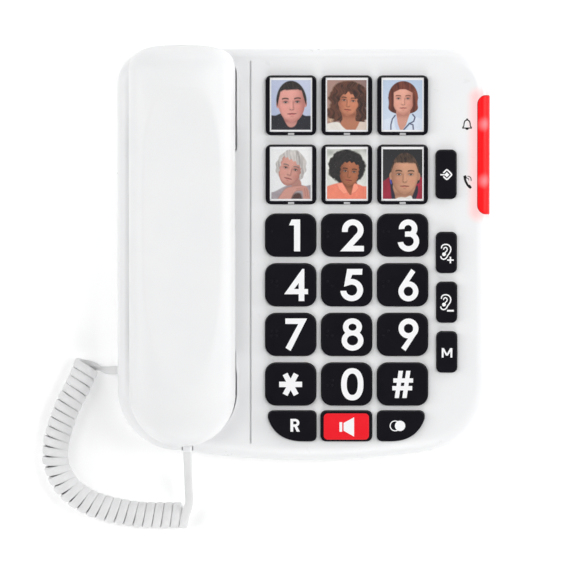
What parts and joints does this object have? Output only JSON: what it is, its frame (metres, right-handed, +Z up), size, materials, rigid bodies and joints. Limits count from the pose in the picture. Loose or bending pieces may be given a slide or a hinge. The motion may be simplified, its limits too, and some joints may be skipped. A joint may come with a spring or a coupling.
{
  "type": "corded desk telephone",
  "caption": "Wedge-shaped corded desk telephone with large square keys, picture memory keys, a red ringer lamp and a cradled handset on a curly cord.",
  "frame": {"origin": "on the table, under the middle of the telephone's box measured without its curly cord", "axes": "+X to the right of the person using it, +Y away from them along the base's length, +Z up"},
  "size_m": [0.2309, 0.2499, 0.0737],
  "materials": {
    "white_plastic": "satin white moulded ABS",
    "black_plastic": "satin black moulded keys",
    "red_plastic": "satin red key",
    "clear_plastic": "clear polished plastic",
    "paper_card": "printed card",
    "lamp_lens": "polished translucent red",
    "rubber": "matte",
    "silicone": "matte silicone",
    "steel": "plated",
    "circuit_board": "solder mask",
    "dark_plastic": "matte",
    "cord_jacket": "satin light grey PVC"
  },
  "bodies": {
    "base": {"base_top_housing": "white_plastic", "base_bottom_housing": "white_plastic", "ring_light_lens": "lamp_lens", "rear_foot_strip": "rubber", "front_foot_strip": "rubber", "housing_screw_left": "steel", "housing_screw_right": "steel", "main_circuit_board": "circuit_board", "keypad_rubber_mat": "silicone", "loudspeaker": "dark_plastic", "line_jack": "dark_plastic", "handset_cord_jack": "dark_plastic", "cord_plug_base": "clear_plastic", "cord_lead_base": "cord_jacket", "curly_cord": "cord_jacket"},
    "handset": {"handset_back_shell": "white_plastic", "handset_front_shell": "white_plastic", "receiver_capsule": "dark_plastic", "microphone_capsule": "dark_plastic", "cord_plug_handset": "clear_plastic", "cord_lead_handset": "cord_jacket"},
    "hook_plunger": {"hook_plunger": "white_plastic"},
    "key_1": {"key_1": "black_plastic"},
    "key_2": {"key_2": "black_plastic"},
    "key_3": {"key_3": "black_plastic"},
    "key_4": {"key_4": "black_plastic"},
    "key_5": {"key_5": "black_plastic"},
    "key_6": {"key_6": "black_plastic"},
    "key_7": {"key_7": "black_plastic"},
    "key_8": {"key_8": "black_plastic"},
    "key_9": {"key_9": "black_plastic"},
    "key_star": {"key_star": "black_plastic"},
    "key_0": {"key_0": "black_plastic"},
    "key_hash": {"key_hash": "black_plastic"},
    "key_store": {"key_store": "black_plastic"},
    "key_volume_up": {"key_volume_up": "black_plastic"},
    "key_volume_down": {"key_volume_down": "black_plastic"},
    "key_mute": {"key_mute": "black_plastic"},
    "key_flash": {"key_flash": "black_plastic"},
    "key_speaker": {"key_speaker": "red_plastic"},
    "key_redial": {"key_redial": "black_plastic"},
    "photo_key_1": {"photo_key_1": "black_plastic", "photo_card_1": "paper_card", "photo_cover_1": "clear_plastic"},
    "photo_key_2": {"photo_key_2": "black_plastic", "photo_card_2": "paper_card", "photo_cover_2": "clear_plastic"},
    "photo_key_3": {"photo_key_3": "black_plastic", "photo_card_3": "paper_card", "photo_cover_3": "clear_plastic"},
    "photo_key_4": {"photo_key_4": "black_plastic", "photo_card_4": "paper_card", "photo_cover_4": "clear_plastic"},
    "photo_key_5": {"photo_key_5": "black_plastic", "photo_card_5": "paper_card", "photo_cover_5": "clear_plastic"},
    "photo_key_6": {"photo_key_6": "black_plastic", "photo_card_6": "paper_card", "photo_cover_6": "clear_plastic"}
  },
  "joints": [
    {"name": "handset_lift", "type": "slide", "parent": "base", "child": "handset", "axis": [0, -0.1392, 0.9903], "range_m": [0, 0.06]},
    {"name": "hook_switch", "type": "slide", "parent": "base", "child": "hook_plunger", "axis": [0, -0.1392, 0.9903], "range_m": [0, 0.004]},
    {"name": "key_1_press", "type": "slide", "parent": "base", "child": "key_1", "axis": [0, 0.1392, -0.9903], "range_m": [0, 0.0012], "stiffness_N_per_m": 700, "springref_m": -0.001},
    {"name": "key_2_press", "type": "slide", "parent": "base", "child": "key_2", "axis": [0, 0.1392, -0.9903], "range_m": [0, 0.0012], "stiffness_N_per_m": 700, "springref_m": -0.001},
    {"name": "key_3_press", "type": "slide", "parent": "base", "child": "key_3", "axis": [0, 0.1392, -0.9903], "range_m": [0, 0.0012], "stiffness_N_per_m": 700, "springref_m": -0.001},
    {"name": "key_4_press", "type": "slide", "parent": "base", "child": "key_4", "axis": [0, 0.1392, -0.9903], "range_m": [0, 0.0012], "stiffness_N_per_m": 700, "springref_m": -0.001},
    {"name": "key_5_press", "type": "slide", "parent": "base", "child": "key_5", "axis": [0, 0.1392, -0.9903], "range_m": [0, 0.0012], "stiffness_N_per_m": 700, "springref_m": -0.001},
    {"name": "key_6_press", "type": "slide", "parent": "base", "child": "key_6", "axis": [0, 0.1392, -0.9903], "range_m": [0, 0.0012], "stiffness_N_per_m": 700, "springref_m": -0.001},
    {"name": "key_7_press", "type": "slide", "parent": "base", "child": "key_7", "axis": [0, 0.1392, -0.9903], "range_m": [0, 0.0012], "stiffness_N_per_m": 700, "springref_m": -0.001},
    {"name": "key_8_press", "type": "slide", "parent": "base", "child": "key_8", "axis": [0, 0.1392, -0.9903], "range_m": [0, 0.0012], "stiffness_N_per_m": 700, "springref_m": -0.001},
    {"name": "key_9_press", "type": "slide", "parent": "base", "child": "key_9", "axis": [0, 0.1392, -0.9903], "range_m": [0, 0.0012], "stiffness_N_per_m": 700, "springref_m": -0.001},
    {"name": "key_star_press", "type": "slide", "parent": "base", "child": "key_star", "axis": [0, 0.1392, -0.9903], "range_m": [0, 0.0012], "stiffness_N_per_m": 700, "springref_m": -0.001},
    {"name": "key_0_press", "type": "slide", "parent": "base", "child": "key_0", "axis": [0, 0.1392, -0.9903], "range_m": [0, 0.0012], "stiffness_N_per_m": 700, "springref_m": -0.001},
    {"name": "key_hash_press", "type": "slide", "parent": "base", "child": "key_hash", "axis": [0, 0.1392, -0.9903], "range_m": [0, 0.0012], "stiffness_N_per_m": 700, "springref_m": -0.001},
    {"name": "key_store_press", "type": "slide", "parent": "base", "child": "key_store", "axis": [0, 0.1392, -0.9903], "range_m": [0, 0.0012], "stiffness_N_per_m": 700, "springref_m": -0.001},
    {"name": "key_volume_up_press", "type": "slide", "parent": "base", "child": "key_volume_up", "axis": [0, 0.1392, -0.9903], "range_m": [0, 0.0012], "stiffness_N_per_m": 700, "springref_m": -0.001},
    {"name": "key_volume_down_press", "type": "slide", "parent": "base", "child": "key_volume_down", "axis": [0, 0.1392, -0.9903], "range_m": [0, 0.0012], "stiffness_N_per_m": 700, "springref_m": -0.001},
    {"name": "key_mute_press", "type": "slide", "parent": "base", "child": "key_mute", "axis": [0, 0.1392, -0.9903], "range_m": [0, 0.0012], "stiffness_N_per_m": 700, "springref_m": -0.001},
    {"name": "key_flash_press", "type": "slide", "parent": "base", "child": "key_flash", "axis": [0, 0.1392, -0.9903], "range_m": [0, 0.0012], "stiffness_N_per_m": 700, "springref_m": -0.001},
    {"name": "key_speaker_press", "type": "slide", "parent": "base", "child": "key_speaker", "axis": [0, 0.1392, -0.9903], "range_m": [0, 0.0012], "stiffness_N_per_m": 700, "springref_m": -0.001},
    {"name": "key_redial_press", "type": "slide", "parent": "base", "child": "key_redial", "axis": [0, 0.1392, -0.9903], "range_m": [0, 0.0012], "stiffness_N_per_m": 700, "springref_m": -0.001},
    {"name": "photo_key_1_press", "type": "slide", "parent": "base", "child": "photo_key_1", "axis": [0, 0.1392, -0.9903], "range_m": [0, 0.0012], "stiffness_N_per_m": 900, "springref_m": -0.001},
    {"name": "photo_key_2_press", "type": "slide", "parent": "base", "child": "photo_key_2", "axis": [0, 0.1392, -0.9903], "range_m": [0, 0.0012], "stiffness_N_per_m": 900, "springref_m": -0.001},
    {"name": "photo_key_3_press", "type": "slide", "parent": "base", "child": "photo_key_3", "axis": [0, 0.1392, -0.9903], "range_m": [0, 0.0012], "stiffness_N_per_m": 900, "springref_m": -0.001},
    {"name": "photo_key_4_press", "type": "slide", "parent": "base", "child": "photo_key_4", "axis": [0, 0.1392, -0.9903], "range_m": [0, 0.0012], "stiffness_N_per_m": 900, "springref_m": -0.001},
    {"name": "photo_key_5_press", "type": "slide", "parent": "base", "child": "photo_key_5", "axis": [0, 0.1392, -0.9903], "range_m": [0, 0.0012], "stiffness_N_per_m": 900, "springref_m": -0.001},
    {"name": "photo_key_6_press", "type": "slide", "parent": "base", "child": "photo_key_6", "axis": [0, 0.1392, -0.9903], "range_m": [0, 0.0012], "stiffness_N_per_m": 900, "springref_m": -0.001}
  ],
  "couplings": [
    {"joint": "hook_switch", "follows": "handset_lift", "ratio": 0.066666}
  ]
}
